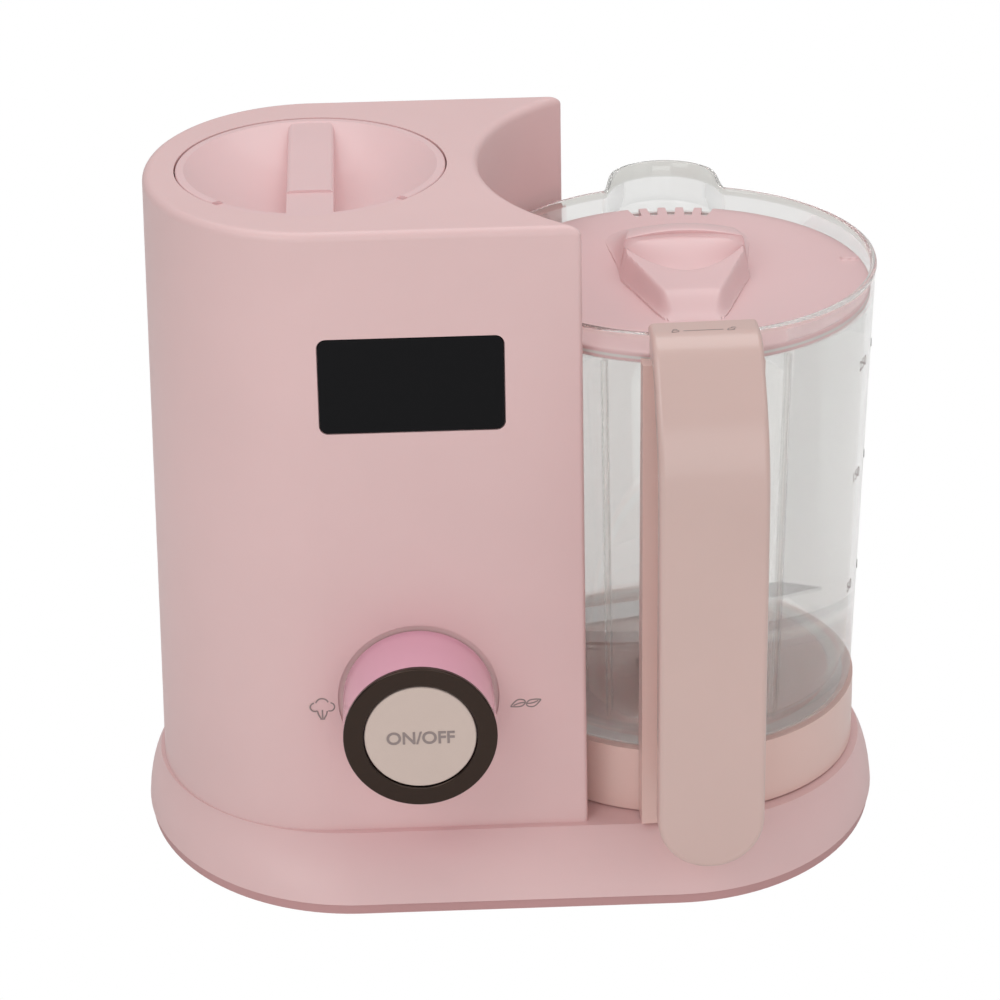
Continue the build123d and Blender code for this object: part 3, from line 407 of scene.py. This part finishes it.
# The grip mound, in mm. u runs across the lid, run counts forward from the brow and is negative behind it.
GRIP_OFF = 2.5                          # how far right of the lid's middle the mound stands
BROW_V, BROW_H, BROW_BEND = 13.5, 12.4, 0.011
BROW_CROWN = 1.2                        # extra height in the middle of the brow
MOUND_HALF_W, MOUND_BACK, MOUND_FRONT = 23.4, 41.0, 51.0
TONGUE_H, TONGUE_SLOPE = 9.6, 0.07
POCKET_RUN, POCKET_DEPTH, POCKET_TOP = 25.0, 6.3, 11.0
POCKET_DEEPEST = 0.62                   # share of the finger pocket's run where it is deepest


def brow_line(u):
    """Front edge of the grip mound at u, in millimetres: a shallow arch across the lid."""
    return BROW_V - BROW_BEND * u * u


def dish(r):
    """The lid's top sinks a little inside its rim."""
    return -DISH_DEPTH * smooth((60 * MM - r) / (34 * MM))


def mound_width(run):
    """Half width of the grip mound at a distance in front of its brow (behind it when negative)."""
    if run <= 0:
        return MOUND_HALF_W + 6.0 * min(-run / 40.0, 1.0) ** 1.5
    return MOUND_HALF_W - 0.29 * max(run - 6.0, 0.0)


def mound_height(u, run):
    """Height above LID_TOP in millimetres at u across and run in front of the brow."""
    soft = 2.4 + 0.25 * max(-run, 0.0) + 0.05 * max(run, 0.0)
    side = smooth((mound_width(run) - abs(u)) / soft)
    across = max(1 - (u / 21.5) ** 2, 0.0)
    if run <= 0:
        fade = smooth((MOUND_BACK + run) / MOUND_BACK) ** 0.85
        return (BROW_H + BROW_CROWN * across) * fade * side
    height = TONGUE_H - TONGUE_SLOPE * run
    t = run / max(POCKET_RUN * across, 0.1)
    low = height - POCKET_DEPTH * across**0.5
    if t < POCKET_DEEPEST:
        height = POCKET_TOP + (low - POCKET_TOP) * smooth(t / POCKET_DEEPEST)
    elif t < 1:
        height = low + (height - low) * smooth((t - POCKET_DEEPEST) / (1 - POCKET_DEEPEST))
    return height * side * smooth((MOUND_FRONT - run) / 13.0)


def notch(angle):
    """How far the rim is cut back at this angle, 0 to 1: the slots that strain at the spout."""
    off = (angle - NOTCH_AT + math.pi) % (2 * math.pi) - math.pi
    span = off * LID_R / MM
    wave = 0.5 + 0.5 * math.cos(span * 2 * math.pi / NOTCH_PITCH)
    return smooth((wave - 0.4) / 0.2) * smooth((NOTCH_SPAN - abs(span)) / 0.8)


def build_lid():
    """The lid's shell, turned, with the strainer slots cut into its rim and the catch raised on it."""
    steps = 900
    top = [(k * 1.5 * MM, 0.0) for k in range(41)] + [(k * 0.5 * MM, 0.0) for k in range(121, 135)]
    top += [(67.5 * MM, 0.08), (67.8 * MM, 0.22), (68.0 * MM, 0.45), (68.15 * MM, 0.85)]
    rings = [(r, LID_TOP + dish(r) - drop * MM) for r, drop in top]
    rings += [(LID_R, LID_TOP - 1.6 * MM), (LID_R, LEDGE_Z + 0.5 * MM),
              (LID_R - 0.3 * MM, LEDGE_Z + 0.15 * MM), (60.0 * MM, LEDGE_Z + 0.1 * MM),
              (58.0 * MM, LID_TOP - 3.6 * MM), (20 * MM, LID_TOP - 5.2 * MM), (0.0, LID_TOP - 5.2 * MM)]
    verts = []
    for r, z in rings:
        for j in range(steps):
            a = 2 * math.pi * j / steps
            cut = r - notch(a) * max(r - NOTCH_R, 0.0)
            lug = 0.0
            if 60.5 * MM < r < 67.2 * MM and math.cos(a) > 0 and z > LID_TOP - 1 * MM:
                lug = LUG_HIGH * smooth((1.5 * MM - abs(r * math.sin(a) - LUG_V)) / (0.6 * MM))
            verts.append((JUG_X + cut * math.cos(a), cut * math.sin(a), z + lug))
    faces = grid_faces(len(rings), steps)
    obj = make_object("jug_lid_shell", verts, faces, lid_pink, math.radians(38))
    weld = obj.modifiers.new("weld", "WELD")
    weld.merge_threshold = 0.00001
    return obj


def build_grip_mound():
    """The lid's grip: an arched brow with a finger pocket under it and a tongue running to the front.

    Rows are (run, drop): drop lowers the brow's lip, and the last of those rows tucks in under it.
    """
    rows = [(-MOUND_BACK + 1.5 * k, 0.0) for k in range(27)]
    rows += [(-0.7, 0.0), (-0.3, 0.1), (0.0, 0.4), (0.05, 1.0), (-0.4, 1.7)]
    rows += [(0.4 + 0.6 * k, 0.0) for k in range(36)] + [(22.5 + 1.5 * k, 0.0) for k in range(20)]
    columns = 81
    verts = []
    for run, drop in rows:
        undercut = run < 0 and drop > 1
        width = mound_width(run)
        for j in range(columns):
            t = -1 + 2 * j / (columns - 1)
            u = width * math.sin(t * math.pi / 2)
            arch = max(1 - (u / 21.0) ** 2, 0.0)
            back = run * arch if undercut else run
            v = brow_line(u) - back
            height = mound_height(u, run if drop == 0.0 else min(run, 0.0)) - drop * arch
            floor_z = dish(math.hypot(u, v) * MM) / MM - 0.5
            z = max(height - DISH_DEPTH / MM * 0.5, floor_z) if height > 0.05 else floor_z
            verts.append((JUG_X + (GRIP_OFF + u) * MM, v * MM, LID_TOP + z * MM))
    faces = grid_faces(len(rows), columns, close_cols=False)
    return make_object("jug_lid_grip", verts, faces, lid_pink, math.radians(40))


lid = build_lid()
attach(lid, "jug_lid")
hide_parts("jug_lid")
mound = build_grip_mound()
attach(mound, "jug_lid")

# ---------------------------------------------------------------- smooth shading on the CAD pieces
for obj in nodes.values():
    if not obj.hide_render:
        smooth_by_angle(obj)


# ---------------------------------------------------------------- printing
def raised_text(name, words, size, place, mat, thick=0.00008, bold=0.0):
    curve = bpy.data.curves.new(name, "FONT")
    curve.body = words
    curve.size = size
    curve.extrude = thick
    curve.offset = bold
    curve.align_x = "CENTER"
    curve.align_y = "CENTER"
    curve.materials.append(mat)
    obj = bpy.data.objects.new(name, curve)
    bpy.context.scene.collection.objects.link(obj)
    obj.matrix_world = place
    return obj


def line_art(name, strokes, width, place, mat):
    """Flat printed strokes: each is a list of (x, y) points in millimetres on the surface."""
    curve = bpy.data.curves.new(name, "CURVE")
    curve.dimensions = "3D"
    curve.bevel_depth = width * MM / 2
    curve.bevel_resolution = 2
    for stroke in strokes:
        spline = curve.splines.new("NURBS")
        spline.points.add(len(stroke) - 1)
        for point, (x, y) in zip(spline.points, stroke):
            point.co = (x * MM, y * MM, 0, 1)
        spline.order_u = 3
        spline.use_endpoint_u = True
    curve.materials.append(mat)
    obj = bpy.data.objects.new(name, curve)
    bpy.context.scene.collection.objects.link(obj)
    obj.matrix_world = place @ Matrix.Diagonal((1, 1, 0.35, 1))
    return obj


def arc(cx, cy, r, a0, a1, n=10):
    """Points on an arc about (cx, cy), from a0 to a1 degrees."""
    return [(cx + r * math.cos(math.radians(a0 + (a1 - a0) * k / n)),
             cy + r * math.sin(math.radians(a0 + (a1 - a0) * k / n))) for k in range(n + 1)]


CAP_OUT = 29.4 * MM                     # the button's face, out from the tower's front
PRINT_OUT = 0.04 * MM                   # printing stands this far off its surface
cap_place = front_matrix(KNOB.x, KNOB.z, CAP_OUT) @ Matrix.Translation((0, -0.9 * MM, 0.1 * MM))
words = raised_text("cap_words", "ON/OFF", 6.6 * MM, cap_place, print_grey, bold=0.12 * MM)
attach(words, "button")

cloud = [arc(-2.6, 0.8, 1.7, 100, 300), arc(0.0, 1.9, 2.3, 20, 165), arc(2.7, 0.8, 1.7, -110, 80),
         [(-1.7, -0.8), (-1.5, -2.6), (-0.6, -3.6)], [(0, -0.4), (0, -3.6)],
         [(1.7, -0.8), (1.5, -2.6), (0.6, -3.6)], [(-0.9, -3.9), (0, -4.2), (0.9, -3.9)]]
steam_place = front_matrix(-69.0 * MM, 73.7 * MM, PRINT_OUT)
steam_icon = line_art("steam_icon", cloud, 0.5, steam_place, print_grey)
leaf = [[(-5.4, -1.3), (-3.6, 1.6), (-0.6, 1.5), (0.0, 0.1), (-1.8, -1.7), (-5.4, -1.3)],
        [(5.4, 1.3), (3.6, -1.6), (0.6, -1.5), (0.0, -0.1), (1.8, 1.7), (5.4, 1.3)],
        [(-4.4, -0.9), (-2.2, 0.4), (-0.4, 0.2)], [(4.4, 0.9), (2.2, -0.4), (0.4, -0.2)]]
blade_place = front_matrix(3.5 * MM, 73.5 * MM, PRINT_OUT)
blade_icon = line_art("blade_icon", leaf, 0.5, blade_place, print_grey)
for icon in (steam_icon, blade_icon):
    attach(icon, "base")

# the lock marks lie on top of the handle, turned a little with it
LOCK_LEFT, LOCK_Y, LOCK_TURN = 1.2 * MM, -75.8 * MM, math.radians(2.0)
lock_mid = Vector(((grip_low.x + grip_high.x) / 2 - LOCK_LEFT, LOCK_Y, grip_high.z + 0.03 * MM))
lock_place = Matrix.Translation(lock_mid) @ Matrix.Rotation(LOCK_TURN, 4, "Z")


def padlock(x, opened):
    """Strokes of a small padlock about x; the shackle stands to one side when it is open."""
    shift = 0.9 if opened else 0.0
    return [[(x - 1.2, -1.1), (x - 1.2, 0.4), (x + 1.2, 0.4), (x + 1.2, -1.1), (x - 1.2, -1.1)],
            arc(x + shift, 0.5, 0.8, 0, 180, 6)]


locks = padlock(-9.5, False) + padlock(9.5, True) + [[(-6.8, -0.3), (6.8, -0.3)]]
lock_marks = line_art("lock_marks", locks, 0.35, lock_place, print_grey)
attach(lock_marks, "jug")


def wall_matrix(angle_deg, z):
    """A frame on the jug's outside: X round the wall, Y up, Z outwards."""
    a = math.radians(angle_deg)
    out = Vector((math.cos(a), math.sin(a), 0))
    along = Vector((-math.sin(a), math.cos(a), 0))
    place = Matrix((along, Vector((0, 0, 1)), out)).transposed().to_4x4()
    place.translation = Vector((JUG_X, 0, z)) + out * (wall_r(z) + 0.03 * MM)
    return place


TICK_AT, NUMBER_AT = -8, -24            # degrees round the jug
SCALE = ((0.184, "250"), (0.140, "150"), (0.095, "50"))
for k, (z, label) in enumerate(SCALE, 1):
    tick = line_art(f"scale_tick_{k}", [[(-3, 0), (3, 0)]], 0.8, wall_matrix(TICK_AT, z), print_dark)
    number_place = wall_matrix(NUMBER_AT, z)
    number = raised_text(f"scale_number_{k}", label, 5.5 * MM, number_place, print_grey, 0.03 * MM)
    for piece in (tick, number):
        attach(piece, "jug")

# ---------------------------------------------------------------- stage, light, camera
scene = bpy.context.scene
scene.view_settings.view_transform = "Standard"
scene.view_settings.look = "None"
# enough bounces to look through both walls of the jug and its ribs
scene.cycles.max_bounces = 18
scene.cycles.transmission_bounces = 18
scene.cycles.glossy_bounces = 8
scene.cycles.transparent_max_bounces = 16


def seen_white(tree, lit_by, out_socket):
    """The stage is plain white to the camera, and gives the object only the light of lit_by."""
    path = tree.nodes.new("ShaderNodeLightPath")
    on_surface = out_socket.node.type == "OUTPUT_MATERIAL"
    glow = tree.nodes.new("ShaderNodeEmission" if on_surface else "ShaderNodeBackground")
    glow.inputs["Color"].default_value = (1, 1, 1, 1)
    glow.inputs["Strength"].default_value = 1.0
    mix = tree.nodes.new("ShaderNodeMixShader")
    tree.links.new(path.outputs["Is Camera Ray"], mix.inputs["Fac"])
    tree.links.new(lit_by, mix.inputs[1])
    tree.links.new(glow.outputs[0], mix.inputs[2])
    tree.links.new(mix.outputs[0], out_socket)


floor_mat, tree, shader = new_material("stage_white")
shader.inputs["Base Color"].default_value = (0.86, 0.86, 0.85, 1)
shader.inputs["Roughness"].default_value = 0.95
shader.inputs["Specular IOR Level"].default_value = 0.0
seen_white(tree, shader.outputs[0], tree.nodes["Material Output"].inputs["Surface"])
FLOOR_HALF = 6
corners = [(x * FLOOR_HALF, y * FLOOR_HALF, 0) for x, y in ((-1, -1), (1, -1), (1, 1), (-1, 1))]
floor = make_object("stage_floor", corners, [(0, 1, 2, 3)], floor_mat)

world = bpy.data.worlds.new("studio")
scene.world = world
world.use_nodes = True
sky = world.node_tree.nodes["Background"]
sky.inputs["Color"].default_value = (1.0, 1.0, 1.0, 1)
sky.inputs["Strength"].default_value = 0.41
seen_white(world.node_tree, sky.outputs[0], world.node_tree.nodes["World Output"].inputs["Surface"])


def softbox(name, place, target, size, power):
    light = bpy.data.lights.new(name, "AREA")
    light.shape = "RECTANGLE"
    light.size, light.size_y = size
    light.energy = power
    obj = bpy.data.objects.new(name, light)
    scene.collection.objects.link(obj)
    obj.location = place
    obj.rotation_mode = "QUATERNION"
    obj.rotation_quaternion = (Vector(target) - Vector(place)).to_track_quat("-Z", "Y")


LIT_AT = (0, 0, 0.12)
softbox("key_box", (-1.1, -1.4, 1.5), LIT_AT, (1.2, 1.2), 8.8)
softbox("fill_box", (1.3, -1.1, 1.0), LIT_AT, (1.0, 1.4), 2.0)
softbox("front_box", (0.1, -1.7, 0.6), LIT_AT, (1.2, 0.9), 4.8)
softbox("top_box", (0.1, 0.3, 1.7), (0, 0, 0.1), (1.6, 1.2), 11)

camera_data = bpy.data.cameras.new("camera")
camera_data.lens = 134.93
camera_data.sensor_width = 36.0
camera_data.clip_start, camera_data.clip_end = 0.05, 50
camera = bpy.data.objects.new("camera", camera_data)
scene.collection.objects.link(camera)
right = Vector((0.9990741, -0.04044817, -0.01465908))
up = Vector((0.03090891, 0.43780901, 0.89853654))
look = Vector((0.02992628, 0.89815768, -0.43865385))
basis = Matrix((right, up, -look)).transposed().to_4x4()
basis.translation = Vector((-0.043447, -1.235695, 0.724432))
camera.matrix_world = basis
scene.camera = camera
